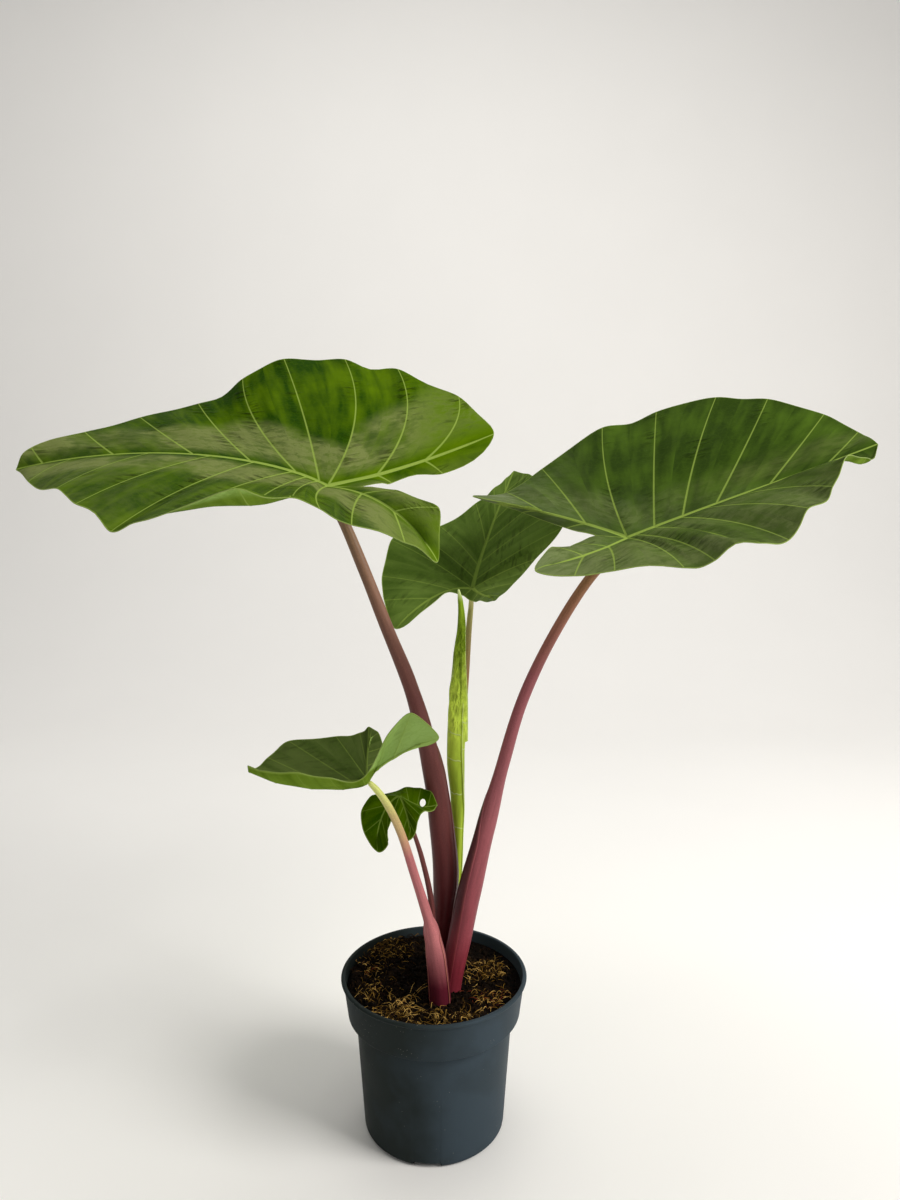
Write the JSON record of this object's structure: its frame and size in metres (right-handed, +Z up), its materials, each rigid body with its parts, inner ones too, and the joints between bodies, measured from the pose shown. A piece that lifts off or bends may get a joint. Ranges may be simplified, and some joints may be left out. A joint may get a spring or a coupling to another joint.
{
  "type": "potted plant",
  "caption": "Young aroid house plant with arrow-shaped leaves on red stalks and a rolled new leaf, growing from peat in a round plastic nursery pot.",
  "frame": {"origin": "centre of the pot's foot, on the surface that the pot stands on", "axes": "+Z up along the pot's axis, -Y towards the viewer of the picture, +X to the viewer's right, the side of the shorter of the two large leaves"},
  "size_m": [0.8818, 0.4668, 0.81],
  "materials": {
    "pot": "matt blue-grey nursery-pot plastic",
    "soil": "damp peat with coir and moss fibres",
    "petiole_left": "smooth maroon stalk, olive towards the leaf",
    "petiole_right": "smooth crimson stalk, olive towards the leaf",
    "petiole_rear": "smooth olive-pink stalk",
    "petiole_small": "yellow-green to pink stalk with a crimson foot",
    "petiole_tiny": "thin red-brown stalk",
    "rolled_leaf": "lime-green rolled young leaf, satin",
    "leaf_left": "leaf skin, satin, with paler veins and underside",
    "leaf_right": "leaf skin, satin, with paler veins and underside",
    "leaf_rear": "leaf skin, matt dark green",
    "leaf_small": "leaf skin, satin, with a brighter lower half",
    "leaf_tiny": "wilted leaf skin, partly greyish"
  },
  "bodies": {
    "root": {"pot": "pot", "soil": "soil", "petiole_left": "petiole_left", "petiole_right": "petiole_right", "petiole_rear": "petiole_rear", "petiole_small": "petiole_small", "petiole_tiny": "petiole_tiny", "rolled_leaf": "rolled_leaf", "leaf_left": "leaf_left", "leaf_right": "leaf_right", "leaf_rear": "leaf_rear", "leaf_small": "leaf_small", "leaf_tiny": "leaf_tiny"}
  },
  "joints": []
}
